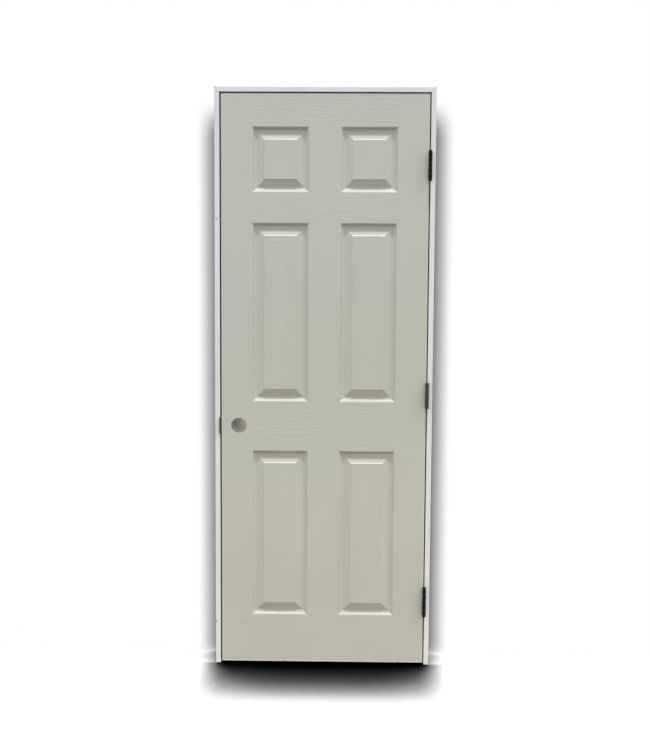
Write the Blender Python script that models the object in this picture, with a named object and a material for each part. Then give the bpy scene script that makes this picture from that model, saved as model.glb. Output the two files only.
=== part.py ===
"""Prehung interior door: a hollow-core six-panel slab hung in its jamb frame.

Units are metres and +Z is up. The pull side, where the hinge barrels show, faces -Y, and
the hinges are on the right, at +X. The origin is on the outer face of the hinge jamb, at
the middle of its width and of its height. The door swings towards -Y on the hinge pins.
"""

import math

import bmesh
import bpy
from mathutils import Vector

# Slab
SLAB_WIDTH = 0.7112
SLAB_HEIGHT = 1.9812
SLAB_THICKNESS = 0.0349
LOCK_EDGE_BEVEL = 0.0018
EASED_EDGE = 0.0008

# Gaps round the slab
HINGE_GAP = 0.004
STRIKE_GAP = 0.005
HEAD_GAP = 0.005
SLAB_UNDERCUT = 0.0064
STOP_GAP = 0.0016

# Jamb frame
JAMB_THICKNESS = 0.0175
JAMB_DEPTH = 0.1159
JAMB_EASING = 0.0012
HEAD_RABBET = 0.0087
STOP_THICKNESS = 0.0111
STOP_WIDTH = 0.0318
STOP_ROUNDING = 0.005

# Moulded skins
SKIN_THICKNESS = 0.0032
TOP_RAIL_FACE = 0.1096
TOP_PANEL_HEIGHT = 0.2224
FRIEZE_RAIL_FACE = 0.1021
MIDDLE_PANEL_HEIGHT = 0.6189
LOCK_RAIL_FACE = 0.1701
BOTTOM_RAIL_FACE = 0.1692
STILE_FACE = 0.1055
MULLION_FACE = 0.106
STICKING_WIDTH = 0.0185
NOSE_RADIUS = 0.0060
RECESS_DEPTH = 0.0100
BEVEL_SIDE_WIDTH = 0.0220
BEVEL_END_WIDTH = 0.0238
SHOULDER_WIDTH = 0.0026
SHOULDER_DEPTH = 0.0026
FIELD_DEPTH = 0.0004

# Frame inside the slab
STILE_WIDTH = 0.030
TOP_RAIL_WIDTH = 0.050
BOTTOM_RAIL_WIDTH = 0.060
LOCK_BLOCK_WIDTH = 0.072
LOCK_BLOCK_HEIGHT = 0.500

# Lockset preparation
BORE_DIAMETER = 0.054
BORE_BACKSET = 0.0603
BORE_ABOVE_SLAB_BOTTOM = 0.8446
LATCH_BORE_DIAMETER = 0.0254
FACEPLATE_WIDTH = 0.0254
FACEPLATE_HEIGHT = 0.0572
FACEPLATE_DEPTH = 0.0032
FACEPLATE_CORNER = 0.00635

# Full-lip strike plate
STRIKE_HEIGHT = 0.0572
STRIKE_THICKNESS = 0.0016
STRIKE_BEHIND_LATCH = 0.0155
STRIKE_CORNER = 0.0064
STRIKE_LIP_RADIUS = 0.0060
STRIKE_LIP_TURN = math.radians(64.0)
LATCH_HOLE_DEPTH = 0.0165
LATCH_HOLE_HEIGHT = 0.0270
LATCH_HOLE_CORNER = 0.0020
LATCH_POCKET_DEPTH = 0.0110

# Five-knuckle butt hinges
HINGE_HEIGHT = 0.0889
HINGE_LEAF_THICKNESS = 0.0022
HINGE_LEAF_CORNER = 0.0159
HINGE_LEAF_ON_EDGE = 0.0301
PIN_AHEAD_OF_FACE = 0.0143
BARREL_RADIUS = 0.00635
PIN_RADIUS = 0.0035
PIN_CLEARANCE = 0.00015
KNUCKLES = 5
KNUCKLE_GAP = 0.0004
KNUCKLE_EASING = 0.0004
TOP_BUTTON_HEIGHT = 0.0070
BOTTOM_BUTTON_HEIGHT = 0.0095
# A button's half outline: shares of the barrel's radius and of the button's height
BUTTON_OUTLINE = ((1.0, 0.0), (1.0, 0.60), (0.86, 0.85), (0.45, 1.0), (0.0, 1.0))
FLAT_TIP_HEIGHT = 0.0010
LEAF_NOTCH_CLEARANCE = 0.0010
TOP_HINGE_BELOW_SLAB_TOP = 0.241
MIDDLE_HINGE_BELOW_SLAB_TOP = 1.027
BOTTOM_HINGE_ABOVE_SLAB_BOTTOM = 0.2245

# How finely round forms are cut into facets
ARC_STEP = math.radians(15.0)
BORE_SEGMENTS = 48
LATCH_BORE_SEGMENTS = 28
BARREL_SEGMENTS = 24
NOSE_STEPS = 4
COVE_STEPS = 6
SHARP_FROM = math.radians(30.0)

# Gap left between pieces that touch
SEAT = 0.0003
# How far a cutter runs past the face that it opens
PAST = 0.002

# Heights, from the middle of the jambs
JAMB_HEIGHT = SLAB_UNDERCUT + SLAB_HEIGHT + HEAD_GAP + JAMB_THICKNESS
FLOOR_Z = -JAMB_HEIGHT / 2
TOP_Z = JAMB_HEIGHT / 2
SLAB_BOTTOM_Z = FLOOR_Z + SLAB_UNDERCUT
SLAB_TOP_Z = SLAB_BOTTOM_Z + SLAB_HEIGHT
HEAD_UNDERSIDE_Z = SLAB_TOP_Z + HEAD_GAP
BORE_Z = SLAB_BOTTOM_Z + BORE_ABOVE_SLAB_BOTTOM
HINGE_Z = {
    "top": SLAB_TOP_Z - TOP_HINGE_BELOW_SLAB_TOP,
    "middle": SLAB_TOP_Z - MIDDLE_HINGE_BELOW_SLAB_TOP,
    "bottom": SLAB_BOTTOM_Z + BOTTOM_HINGE_ABOVE_SLAB_BOTTOM,
}

# Across the opening, from the hinge jamb's outer face
HINGE_JAMB_FACE_X = -JAMB_THICKNESS
SLAB_HINGE_EDGE_X = HINGE_JAMB_FACE_X - HINGE_GAP
SLAB_LOCK_EDGE_X = SLAB_HINGE_EDGE_X - SLAB_WIDTH
STRIKE_JAMB_FACE_X = SLAB_LOCK_EDGE_X - STRIKE_GAP
STRIKE_JAMB_OUTER_X = STRIKE_JAMB_FACE_X - JAMB_THICKNESS
PIN_X = (HINGE_JAMB_FACE_X + SLAB_HINGE_EDGE_X) / 2
BORE_X = SLAB_LOCK_EDGE_X + BORE_BACKSET

# Through the wall, from the middle of the jambs
FRONT_Y = -JAMB_DEPTH / 2
BACK_Y = JAMB_DEPTH / 2
SLAB_BACK_Y = FRONT_Y + SLAB_THICKNESS
SLAB_MIDDLE_Y = FRONT_Y + SLAB_THICKNESS / 2
STOP_FRONT_Y = SLAB_BACK_Y + STOP_GAP
PIN_Y = FRONT_Y - PIN_AHEAD_OF_FACE
LEAF_END_Y = FRONT_Y + HINGE_LEAF_ON_EDGE

# What the skins leave for the frame between them
INNER_FRONT_Y = FRONT_Y + SKIN_THICKNESS + SEAT
INNER_BACK_Y = SLAB_BACK_Y - SKIN_THICKNESS - SEAT


def clear_scene():
    for old in list(bpy.data.objects):
        bpy.data.objects.remove(old, do_unlink=True)


def make_material(name, colour, roughness, metallic=0.0):
    material = bpy.data.materials.new(name)
    material.use_nodes = True
    shader = material.node_tree.nodes["Principled BSDF"]
    shader.inputs["Base Color"].default_value = (*colour, 1.0)
    shader.inputs["Roughness"].default_value = roughness
    shader.inputs["Metallic"].default_value = metallic
    return material


def make_materials():
    return {
        "slab": make_material("greige_paint", (0.49, 0.50, 0.42), 0.45),
        "frame": make_material("white_paint", (0.72, 0.74, 0.75), 0.40),
        "timber": make_material("raw_pine", (0.62, 0.47, 0.29), 0.75),
        "black": make_material("black_iron", (0.015, 0.014, 0.013), 0.40, 0.6),
        "bronze": make_material("dark_bronze", (0.12, 0.10, 0.08), 0.40, 0.8),
        "steel": make_material("strike_steel", (0.36, 0.36, 0.33), 0.35, 1.0),
    }


def finish(bm, name, material, smooth=False):
    """Turn the bmesh into an object with outward faces and its own material."""
    bmesh.ops.recalc_face_normals(bm, faces=bm.faces)
    mesh = bpy.data.meshes.new(name)
    bm.to_mesh(mesh)
    bm.free()
    if smooth:
        mesh.shade_smooth()
        mesh.set_sharp_from_angle(angle=SHARP_FROM)
    made = bpy.data.objects.new(name, mesh)
    if material:
        mesh.materials.append(material)
    bpy.context.scene.collection.objects.link(made)
    return made


def point_on(axis, u, v, w):
    """The point at u, v across an extrusion along axis, and w along it."""
    return {"X": (w, u, v), "Y": (u, w, v), "Z": (u, v, w)}[axis]


def prism_mesh(outline, low, high, axis):
    """An outline drawn across an axis and extruded along it, from low to high."""
    bm = bmesh.new()
    corners = [bm.verts.new(point_on(axis, u, v, low)) for u, v in outline]
    base = bm.faces.new(corners)
    made = bmesh.ops.extrude_face_region(bm, geom=[base])
    top = [item for item in made["geom"] if isinstance(item, bmesh.types.BMVert)]
    along = Vector(point_on(axis, 0.0, 0.0, high - low))
    bmesh.ops.translate(bm, verts=top, vec=along)
    return bm


def prism(name, outline, low, high, axis, material=None):
    return finish(prism_mesh(outline, low, high, axis), name, material)


def box(name, low, high, material=None):
    outline = rectangle(low[0], low[1], high[0], high[1])
    return prism(name, outline, low[2], high[2], "Z", material)


def rectangle(u0, v0, u1, v1):
    return [(u0, v0), (u1, v0), (u1, v1), (u0, v1)]


def arc(centre, radius, start, end):
    """Points on an arc, both ends included, at most ARC_STEP apart."""
    steps = max(2, math.ceil(abs(end - start) / ARC_STEP))
    angles = [start + (end - start) * i / steps for i in range(steps + 1)]
    return [(centre[0] + radius * math.cos(a), centre[1] + radius * math.sin(a)) for a in angles]


def rounded_rectangle(u0, v0, u1, v1, radii):
    """A rectangle with a radius for each corner, from (u0, v0) round to (u0, v1)."""
    places = [(u0, v0, 1, 1), (u1, v0, -1, 1), (u1, v1, -1, -1), (u0, v1, 1, -1)]
    outline = []
    for index, ((u, v, du, dv), radius) in enumerate(zip(places, radii)):
        if not radius:
            outline.append((u, v))
            continue
        start = math.pi + index * math.pi / 2
        outline += arc((u + du * radius, v + dv * radius), radius, start, start + math.pi / 2)
    return outline


def circle(centre, radius, segments):
    return [
        (
            centre[0] + radius * math.cos(2 * math.pi * i / segments),
            centre[1] + radius * math.sin(2 * math.pi * i / segments),
        )
        for i in range(segments)
    ]


def turned(profile, x, y, segments, closed):
    """A profile of (radius, z) points turned about the vertical line at x, y."""
    bm = bmesh.new()
    rings = []
    for radius, z in profile:
        if radius:
            ring = [bm.verts.new((x + u, y + v, z)) for u, v in circle((0, 0), radius, segments)]
        else:
            ring = [bm.verts.new((x, y, z))] * segments
        rings.append(ring)
    pairs = list(zip(rings, rings[1:]))
    if closed:
        pairs.append((rings[-1], rings[0]))
    for lower, upper in pairs:
        for i in range(segments):
            j = (i + 1) % segments
            corners = [lower[i], lower[j], upper[j], upper[i]]
            bm.faces.new(list(dict.fromkeys(corners)))
    return bm


def cut(target, cutter):
    """Cut one solid from another, with the cutter kept as a hidden guide."""
    cutter.hide_render = True
    cutter.display_type = "WIRE"
    modifier = target.modifiers.new(cutter.name, "BOOLEAN")
    modifier.operation = "DIFFERENCE"
    modifier.solver = "EXACT"
    modifier.object = cutter


def join(target, addition):
    """Join a solid to another, with the added one kept as a hidden guide."""
    addition.hide_render = True
    addition.display_type = "WIRE"
    modifier = target.modifiers.new(addition.name, "BOOLEAN")
    modifier.operation = "UNION"
    modifier.solver = "EXACT"
    modifier.object = addition


def lock_edge_x(y):
    """The slab's lock edge leans in towards the back, so that it clears the jamb."""
    return SLAB_LOCK_EDGE_X + LOCK_EDGE_BEVEL * (y - FRONT_Y) / SLAB_THICKNESS


def knuckle_span(index, hinge_z):
    """The lowest and highest point of one knuckle, counted from the bottom."""
    length = (HINGE_HEIGHT - (KNUCKLES - 1) * KNUCKLE_GAP) / KNUCKLES
    low = hinge_z - HINGE_HEIGHT / 2 + index * (length + KNUCKLE_GAP)
    return low, low + length


def leaf_mortise(name, hinge_z, low_x, high_x):
    """A cutter for the gain that a leaf sits in, open at the front."""
    half = HINGE_HEIGHT / 2 + SEAT
    radius = HINGE_LEAF_CORNER + SEAT
    front = FRONT_Y - PAST
    outline = rounded_rectangle(
        front, hinge_z - half, LEAF_END_Y + SEAT, hinge_z + half, (0, radius, radius, 0)
    )
    return prism(name, outline, low_x, high_x, "X")


def leaf_outline(hinge_z, own_knuckles):
    """A leaf seen from its face: round outer corners, and a tab into each of its knuckles."""
    half = HINGE_HEIGHT / 2
    tab_y = PIN_Y + (BARREL_RADIUS + PIN_RADIUS) / 2 - PIN_CLEARANCE
    notch_y = PIN_Y + BARREL_RADIUS + LEAF_NOTCH_CLEARANCE
    low, high = hinge_z - half, hinge_z + half
    outline = rounded_rectangle(
        notch_y, low, LEAF_END_Y, high, (0, HINGE_LEAF_CORNER, HINGE_LEAF_CORNER, 0)
    )
    # The front edge runs down from the top corner, out and back at each tab.
    corner = outline.pop()
    front = outline.pop(0)
    edge = [corner]
    for index in sorted(own_knuckles, reverse=True):
        bottom, top = knuckle_span(index, hinge_z)
        bottom += KNUCKLE_EASING
        top -= KNUCKLE_EASING
        edge += [(notch_y, top), (tab_y, top), (tab_y, bottom), (notch_y, bottom)]
    return outline + edge + [front]


def knuckle_rings(name, hinge_z, own_knuckles):
    """The rolled knuckles of one leaf, as rings with eased ends."""
    bore = PIN_RADIUS + PIN_CLEARANCE
    whole = bmesh.new()
    for index in own_knuckles:
        low, high = knuckle_span(index, hinge_z)
        profile = [
            (bore, low),
            (BARREL_RADIUS - KNUCKLE_EASING, low),
            (BARREL_RADIUS, low + KNUCKLE_EASING),
            (BARREL_RADIUS, high - KNUCKLE_EASING),
            (BARREL_RADIUS - KNUCKLE_EASING, high),
            (bore, high),
        ]
        ring = turned(profile, PIN_X, PIN_Y, BARREL_SEGMENTS, closed=True)
        part = bpy.data.meshes.new(name)
        ring.to_mesh(part)
        ring.free()
        whole.from_mesh(part)
        bpy.data.meshes.remove(part)
    return finish(whole, name, None)


def hinge_leaf(name, hinge_z, own_knuckles, low_x, material):
    high_x = low_x + HINGE_LEAF_THICKNESS
    leaf = prism(name, leaf_outline(hinge_z, own_knuckles), low_x, high_x, "X", material)
    join(leaf, knuckle_rings(name + "_knuckles", hinge_z, own_knuckles))
    return leaf


def button_tip(z, rise):
    """Half of a pin's button, from the barrel's end outwards."""
    return [(BARREL_RADIUS * across, z + rise * up) for across, up in BUTTON_OUTLINE]


def flat_tip(z, rise):
    return [(PIN_RADIUS, z + rise), (0.0, z + rise)]


def hinge_pin(name, hinge_z, tip, rise, material):
    top = hinge_z + HINGE_HEIGHT / 2 + SEAT
    bottom = hinge_z - HINGE_HEIGHT / 2 - SEAT
    lower = list(reversed(tip(bottom, -rise)))
    shank = [(PIN_RADIUS, bottom), (PIN_RADIUS, top)]
    profile = lower + shank + tip(top, rise)
    return finish(turned(profile, PIN_X, PIN_Y, BARREL_SEGMENTS, closed=False), name, material, True)


def make_hinges(materials):
    styles = {
        "top": (button_tip, TOP_BUTTON_HEIGHT, materials["black"]),
        "middle": (flat_tip, FLAT_TIP_HEIGHT, materials["bronze"]),
        "bottom": (button_tip, BOTTOM_BUTTON_HEIGHT, materials["black"]),
    }
    jamb_knuckles = range(0, KNUCKLES, 2)
    door_knuckles = range(1, KNUCKLES, 2)
    door_leaf_x = SLAB_HINGE_EDGE_X - HINGE_LEAF_THICKNESS
    for place, (tip, rise, material) in styles.items():
        z = HINGE_Z[place]
        name = place + "_hinge"
        hinge_leaf(name + "_jamb_leaf", z, jamb_knuckles, HINGE_JAMB_FACE_X, material)
        hinge_leaf(name + "_door_leaf", z, door_knuckles, door_leaf_x, material)
        hinge_pin(name + "_pin", z, tip, rise, material)


def panel_columns():
    """The left and right edge of each column of panels."""
    width = (SLAB_WIDTH - 2 * STILE_FACE - MULLION_FACE) / 2
    left = SLAB_LOCK_EDGE_X + STILE_FACE
    right = left + width + MULLION_FACE
    return [(left, left + width), (right, right + width)]


def panel_rows():
    """The lowest and highest edge of each row of panels."""
    top = SLAB_TOP_Z - TOP_RAIL_FACE
    middle = top - TOP_PANEL_HEIGHT - FRIEZE_RAIL_FACE
    low = middle - MIDDLE_PANEL_HEIGHT - LOCK_RAIL_FACE
    return [
        (top - TOP_PANEL_HEIGHT, top),
        (middle - MIDDLE_PANEL_HEIGHT, middle),
        (SLAB_BOTTOM_Z + BOTTOM_RAIL_FACE, low),
    ]


def sticking_curve():
    """How steep the sticking gets where its nose meets its cove, and the cove's radius."""
    steepest = 2 * math.atan2(RECESS_DEPTH, STICKING_WIDTH)
    return steepest, STICKING_WIDTH / math.sin(steepest) - NOSE_RADIUS


def nose_point(angle):
    return NOSE_RADIUS * math.sin(angle), NOSE_RADIUS * (1 - math.cos(angle))


def cove_point(angle, radius):
    return STICKING_WIDTH - radius * math.sin(angle), RECESS_DEPTH - radius * (1 - math.cos(angle))


def bevel_reach():
    """How far the bevel's top lies from the panel's edge, at the sides and at the ends."""
    return STICKING_WIDTH + BEVEL_SIDE_WIDTH, STICKING_WIDTH + BEVEL_END_WIDTH


def show_profile():
    """The moulding across one panel edge: inset at the sides, inset at the ends, depth."""
    steepest, cove_radius = sticking_curve()
    points = [nose_point(steepest * i / NOSE_STEPS) for i in range(NOSE_STEPS + 1)]
    for i in range(1, COVE_STEPS + 1):
        points.append(cove_point(steepest * (1 - i / COVE_STEPS), cove_radius))
    profile = [(across, across, depth) for across, depth in points]
    side, end = bevel_reach()
    profile.append((side, end, SHOULDER_DEPTH))
    profile.append((side + SHOULDER_WIDTH, end + SHOULDER_WIDTH, FIELD_DEPTH))
    return profile


def hidden_profile():
    """The back of the moulding, which follows the face one skin thickness behind it."""
    steepest, cove_radius = sticking_curve()
    points = [
        (0.0, 0.0),
        nose_point(steepest),
        cove_point(steepest / 2, cove_radius),
        cove_point(0.0, cove_radius),
    ]
    profile = [(across, across, depth + SKIN_THICKNESS) for across, depth in points]
    side, end = bevel_reach()
    profile.append((side, end, SHOULDER_DEPTH + SKIN_THICKNESS))
    return profile


def ring_of(bm, points):
    verts = [bm.verts.new(point) for point in points]
    for a, b in zip(verts, verts[1:] + verts[:1]):
        bm.edges.new((a, b))
    return verts


def edges_of(bm, ring):
    return [bm.edges.get((a, b)) for a, b in zip(ring, ring[1:] + ring[:1])]


def bridge(bm, first, second):
    count = len(first)
    for i in range(count):
        j = (i + 1) % count
        bm.faces.new((first[i], first[j], second[j], second[i]))


def sunk_panel(bm, column, row, profile, to_y):
    """The rings of one panel, from its outer edge to its field, and the field itself."""
    rings = []
    for side, end, depth in profile:
        left, right = column[0] + side, column[1] - side
        low, high = row[0] + end, row[1] - end
        y = to_y(depth)
        corners = [(left, y, low), (right, y, low), (right, y, high), (left, y, high)]
        rings.append(ring_of(bm, corners))
    for outer, inner in zip(rings, rings[1:]):
        bridge(bm, outer, inner)
    bm.faces.new(rings[-1])
    return rings[0]


def skin_side(bm, profile, border, to_y):
    """One side of a skin: its flat face with six panels and the lock bore left open in it."""
    y = to_y(profile[0][2])
    rings = [border]
    for row in panel_rows():
        for column in panel_columns():
            rings.append(sunk_panel(bm, column, row, profile, to_y))
    bore = circle((BORE_X, BORE_Z), BORE_DIAMETER / 2, BORE_SEGMENTS)
    rings.append(ring_of(bm, [(x, y, z) for x, z in bore]))
    edges = [edge for ring in rings for edge in edges_of(bm, ring)]
    bmesh.ops.triangle_fill(bm, use_beauty=True, use_dissolve=False, edges=edges)
    return rings[-1]


def moulded_skin(name, face_y, inwards, material):
    """A pressed hardboard skin. inwards is +1 or -1, the way from its face into the slab."""
    bm = bmesh.new()

    def to_y(depth):
        return face_y + inwards * depth

    def border(depth, ease):
        y = to_y(depth)
        left, right = lock_edge_x(y) + ease, SLAB_HINGE_EDGE_X - ease
        low, high = SLAB_BOTTOM_Z + ease, SLAB_TOP_Z - ease
        return ring_of(bm, [(left, y, low), (right, y, low), (right, y, high), (left, y, high)])

    face = border(0.0, EASED_EDGE)
    shoulder = border(EASED_EDGE, 0.0)
    inner = border(SKIN_THICKNESS, 0.0)
    show_bore = skin_side(bm, show_profile(), face, to_y)
    hidden_bore = skin_side(bm, hidden_profile(), inner, to_y)
    bridge(bm, face, shoulder)
    bridge(bm, shoulder, inner)
    bridge(bm, show_bore, hidden_bore)
    return finish(bm, name, material)


def make_slab(materials):
    front_skin = moulded_skin("front_skin", FRONT_Y, 1, materials["slab"])
    moulded_skin("back_skin", SLAB_BACK_Y, -1, materials["slab"])

    stile_x = SLAB_HINGE_EDGE_X - STILE_WIDTH
    hinge_stile = box(
        "hinge_stile",
        (stile_x, INNER_FRONT_Y, SLAB_BOTTOM_Z),
        (SLAB_HINGE_EDGE_X, INNER_BACK_Y, SLAB_TOP_Z),
        materials["timber"],
    )
    lock_inner_x = SLAB_LOCK_EDGE_X + STILE_WIDTH
    lock_outline = [
        (lock_edge_x(INNER_FRONT_Y), INNER_FRONT_Y),
        (lock_inner_x, INNER_FRONT_Y),
        (lock_inner_x, INNER_BACK_Y),
        (lock_edge_x(INNER_BACK_Y), INNER_BACK_Y),
    ]
    lock_stile = prism(
        "lock_stile", lock_outline, SLAB_BOTTOM_Z, SLAB_TOP_Z, "Z", materials["timber"]
    )
    box(
        "top_rail",
        (lock_inner_x + SEAT, INNER_FRONT_Y, SLAB_TOP_Z - TOP_RAIL_WIDTH),
        (stile_x - SEAT, INNER_BACK_Y, SLAB_TOP_Z),
        materials["timber"],
    )
    box(
        "bottom_rail",
        (lock_inner_x + SEAT, INNER_FRONT_Y, SLAB_BOTTOM_Z),
        (stile_x - SEAT, INNER_BACK_Y, SLAB_BOTTOM_Z + BOTTOM_RAIL_WIDTH),
        materials["timber"],
    )
    block_x = lock_inner_x + SEAT
    lock_block = box(
        "lock_block",
        (block_x, INNER_FRONT_Y, BORE_Z - LOCK_BLOCK_HEIGHT / 2),
        (block_x + LOCK_BLOCK_WIDTH, INNER_BACK_Y, BORE_Z + LOCK_BLOCK_HEIGHT / 2),
        materials["timber"],
    )

    bore = circle((BORE_X, BORE_Z), BORE_DIAMETER / 2, BORE_SEGMENTS)
    cut(lock_block, prism("lock_bore_guide", bore, FRONT_Y - PAST, SLAB_BACK_Y + PAST, "Y"))
    latch_bore = circle((SLAB_MIDDLE_Y, BORE_Z), LATCH_BORE_DIAMETER / 2, LATCH_BORE_SEGMENTS)
    latch_guide = prism(
        "latch_bore_guide", latch_bore, SLAB_LOCK_EDGE_X - PAST, BORE_X, "X"
    )
    cut(lock_block, latch_guide)
    cut(lock_stile, latch_guide)
    faceplate = rounded_rectangle(
        SLAB_MIDDLE_Y - FACEPLATE_WIDTH / 2,
        BORE_Z - FACEPLATE_HEIGHT / 2,
        SLAB_MIDDLE_Y + FACEPLATE_WIDTH / 2,
        BORE_Z + FACEPLATE_HEIGHT / 2,
        (FACEPLATE_CORNER,) * 4,
    )
    seat_x = lock_edge_x(SLAB_MIDDLE_Y) + FACEPLATE_DEPTH
    cut(lock_stile, prism("faceplate_guide", faceplate, SLAB_LOCK_EDGE_X - PAST, seat_x, "X"))

    seat = SLAB_HINGE_EDGE_X - HINGE_LEAF_THICKNESS - SEAT
    for place, z in HINGE_Z.items():
        guide = leaf_mortise(place + "_stile_gain", z, seat, SLAB_HINGE_EDGE_X + PAST)
        cut(hinge_stile, guide)
        cut(front_skin, guide)


def eased_board(inner_x, outer_x):
    """The section of a side jamb, its four long edges eased."""
    low, high = sorted((inner_x, outer_x))
    return chamfered(low, FRONT_Y, high, BACK_Y, JAMB_EASING)


def chamfered(u0, v0, u1, v1, ease):
    return [
        (u0 + ease, v0),
        (u1 - ease, v0),
        (u1, v0 + ease),
        (u1, v1 - ease),
        (u1 - ease, v1),
        (u0 + ease, v1),
        (u0, v1 - ease),
        (u0, v0 + ease),
    ]


def make_jambs(materials):
    frame = materials["frame"]
    strike_jamb = prism(
        "strike_jamb", eased_board(STRIKE_JAMB_FACE_X, STRIKE_JAMB_OUTER_X), FLOOR_Z, TOP_Z, "Z", frame
    )
    hinge_jamb = prism("hinge_jamb", eased_board(HINGE_JAMB_FACE_X, 0.0), FLOOR_Z, TOP_Z, "Z", frame)

    # The head jamb's ends enter a rabbet in the top of each side jamb.
    strike_rabbet_x = STRIKE_JAMB_FACE_X - HEAD_RABBET
    hinge_rabbet_x = HINGE_JAMB_FACE_X + HEAD_RABBET
    head_section = chamfered(FRONT_Y, HEAD_UNDERSIDE_Z, BACK_Y, TOP_Z, JAMB_EASING)
    prism("head_jamb", head_section, strike_rabbet_x + SEAT, hinge_rabbet_x - SEAT, "X", frame)
    shelf_z = HEAD_UNDERSIDE_Z - SEAT
    for jamb, face_x, rabbet_x in (
        (strike_jamb, STRIKE_JAMB_FACE_X + PAST, strike_rabbet_x),
        (hinge_jamb, HINGE_JAMB_FACE_X - PAST, hinge_rabbet_x),
    ):
        low_x, high_x = sorted((face_x, rabbet_x))
        guide = box(
            jamb.name + "_rabbet_guide",
            (low_x, FRONT_Y - PAST, shelf_z),
            (high_x, BACK_Y + PAST, TOP_Z + PAST),
        )
        cut(jamb, guide)

    gain_x = HINGE_JAMB_FACE_X + HINGE_LEAF_THICKNESS + SEAT
    for place, z in HINGE_Z.items():
        cut(hinge_jamb, leaf_mortise(place + "_jamb_gain", z, HINGE_JAMB_FACE_X - PAST, gain_x))

    half = STRIKE_HEIGHT / 2 + SEAT
    corner = STRIKE_CORNER + SEAT
    strike_gain = rounded_rectangle(
        FRONT_Y - PAST, BORE_Z - half, strike_back_y() + SEAT, BORE_Z + half, (0, corner, corner, 0)
    )
    floor_x = STRIKE_JAMB_FACE_X - STRIKE_THICKNESS - SEAT
    cut(strike_jamb, prism("strike_gain_guide", strike_gain, floor_x, STRIKE_JAMB_FACE_X + PAST, "X"))
    pocket = latch_hole_outline()
    cut(strike_jamb, prism("latch_pocket_guide", pocket, floor_x - LATCH_POCKET_DEPTH, floor_x + PAST, "X"))


def strike_back_y():
    return SLAB_MIDDLE_Y + STRIKE_BEHIND_LATCH


def latch_hole_outline():
    return rounded_rectangle(
        SLAB_MIDDLE_Y - LATCH_HOLE_DEPTH / 2,
        BORE_Z - LATCH_HOLE_HEIGHT / 2,
        SLAB_MIDDLE_Y + LATCH_HOLE_DEPTH / 2,
        BORE_Z + LATCH_HOLE_HEIGHT / 2,
        (LATCH_HOLE_CORNER,) * 4,
    )


def make_strike_plate(materials):
    """A flat plate let into the jamb, its front curling away round the jamb's edge."""
    face_x = STRIKE_JAMB_FACE_X
    back_x = face_x - STRIKE_THICKNESS
    lip_y = FRONT_Y - SEAT
    centre = (back_x - STRIKE_LIP_RADIUS, lip_y)
    outer = arc(centre, STRIKE_LIP_RADIUS + STRIKE_THICKNESS, 0.0, -STRIKE_LIP_TURN)
    inner = arc(centre, STRIKE_LIP_RADIUS, -STRIKE_LIP_TURN, 0.0)
    section = [(face_x, strike_back_y())] + outer + inner + [(back_x, strike_back_y())]
    low, high = BORE_Z - STRIKE_HEIGHT / 2, BORE_Z + STRIKE_HEIGHT / 2
    bm = prism_mesh(section, low, high, "Z")
    ends = [
        edge
        for edge in bm.edges
        if all(abs(v.co.y - strike_back_y()) < SEAT / 10 for v in edge.verts)
        and abs(edge.verts[0].co.z - edge.verts[1].co.z) < SEAT / 10
    ]
    steps = math.ceil(math.pi / 2 / ARC_STEP)
    bmesh.ops.bevel(
        bm, geom=ends, offset=STRIKE_CORNER, segments=steps, profile=0.5, affect="EDGES"
    )
    plate = finish(bm, "strike_plate", materials["steel"], True)
    cut(plate, prism("latch_hole_guide", latch_hole_outline(), back_x - PAST, face_x + PAST, "X"))


def stop_section(face, inwards):
    """Across a stop: its thickness off the jamb face, and its width through the wall."""
    seat = face + inwards * SEAT
    face_of_stop = face + inwards * STOP_THICKNESS
    back_y = STOP_FRONT_Y + STOP_WIDTH
    start = 0.0 if inwards > 0 else math.pi
    corner = arc(
        (face_of_stop - inwards * STOP_ROUNDING, back_y - STOP_ROUNDING),
        STOP_ROUNDING,
        start,
        math.pi / 2,
    )
    return [(seat, STOP_FRONT_Y), (face_of_stop, STOP_FRONT_Y)] + corner + [(seat, back_y)]


def make_stops(materials):
    """Stops round the opening, their upper corners mitred under the head jamb."""
    reach = STOP_THICKNESS + PAST
    top = HEAD_UNDERSIDE_Z - SEAT
    stops = {
        "strike_stop": (STRIKE_JAMB_FACE_X, 1),
        "hinge_stop": (HINGE_JAMB_FACE_X, -1),
    }
    for name, (face, inwards) in stops.items():
        stop = prism(name, stop_section(face, inwards), FLOOR_Z, top, "Z", materials["frame"])
        # The cut falls from the jamb's corner at 45 degrees.
        outline = [
            (face, HEAD_UNDERSIDE_Z - SEAT),
            (face + inwards * reach, HEAD_UNDERSIDE_Z - SEAT - reach),
            (face + inwards * reach, top + PAST),
            (face - inwards * PAST, top + PAST),
            (face - inwards * PAST, HEAD_UNDERSIDE_Z - SEAT),
        ]
        cut(stop, prism(name + "_mitre", outline, STOP_FRONT_Y - PAST, BACK_Y, "Y"))

    section = [(y, v) for v, y in stop_section(HEAD_UNDERSIDE_Z, -1)]
    low_x, high_x = STRIKE_JAMB_FACE_X + SEAT, HINGE_JAMB_FACE_X - SEAT
    head_stop = prism("head_stop", section, low_x, high_x, "X", materials["frame"])
    for name, (face, inwards) in stops.items():
        outline = [
            (face + inwards * SEAT, HEAD_UNDERSIDE_Z),
            (face + inwards * (SEAT + reach), HEAD_UNDERSIDE_Z - reach),
            (face - inwards * PAST, HEAD_UNDERSIDE_Z - reach),
            (face - inwards * PAST, HEAD_UNDERSIDE_Z),
        ]
        cut(head_stop, prism("head_" + name + "_mitre", outline, STOP_FRONT_Y - PAST, BACK_Y, "Y"))


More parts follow.
